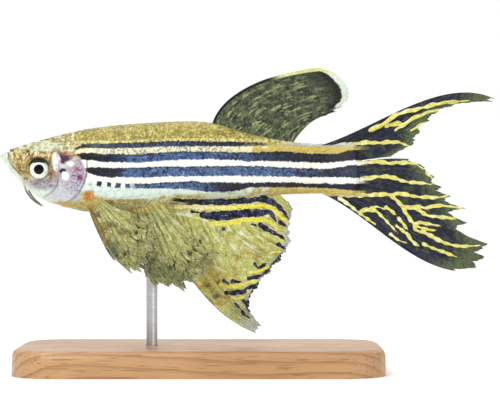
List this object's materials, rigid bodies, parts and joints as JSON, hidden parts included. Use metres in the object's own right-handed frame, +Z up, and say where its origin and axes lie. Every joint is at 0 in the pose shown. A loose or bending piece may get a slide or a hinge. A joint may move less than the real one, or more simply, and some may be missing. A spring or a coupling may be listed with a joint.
{
  "type": "long-finned zebra danio on a display stand",
  "caption": "A long-finned zebra danio, a small striped freshwater fish with flowing fins, as a life-size model on a plain display stand.",
  "frame": {"origin": "centre of the display base's underside, on the surface that the stand rests on", "axes": "+X from the fish's head towards its tail, +Y towards the fish's right side, +Z up"},
  "size_m": [0.0572, 0.022, 0.035],
  "materials": {
    "head": "golden olive painted skin, satin",
    "jaw": "pale silvery painted skin, satin",
    "gill_cover": "silvery painted skin, glossy",
    "eye": "glossy eye with a dark pupil",
    "flank": "silver skin with dark blue stripes along it, glossy",
    "fin": "thin olive fin, slightly see-through at the edges",
    "barbel": "dark painted skin, satin",
    "stand_base": "oiled pale wood, satin",
    "stand_rod": "brushed"
  },
  "bodies": {
    "root": {"head": "head", "lower_jaw": "jaw", "gill_cover_left": "gill_cover", "gill_cover_right": "gill_cover", "eye_left": "eye", "eye_right": "eye", "trunk": "flank", "tail_stalk": "flank", "dorsal_fin": "fin", "anal_fin": "fin", "caudal_fin_upper": "fin", "caudal_fin_lower": "fin", "pectoral_fin_left": "fin", "pectoral_fin_right": "fin", "pelvic_fin_left": "fin", "pelvic_fin_right": "fin", "maxillary_barbel_left": "barbel", "maxillary_barbel_right": "barbel", "rostral_barbel_left": "barbel", "rostral_barbel_right": "barbel", "stand_base": "stand_base", "stand_rod": "stand_rod"}
  },
  "joints": []
}
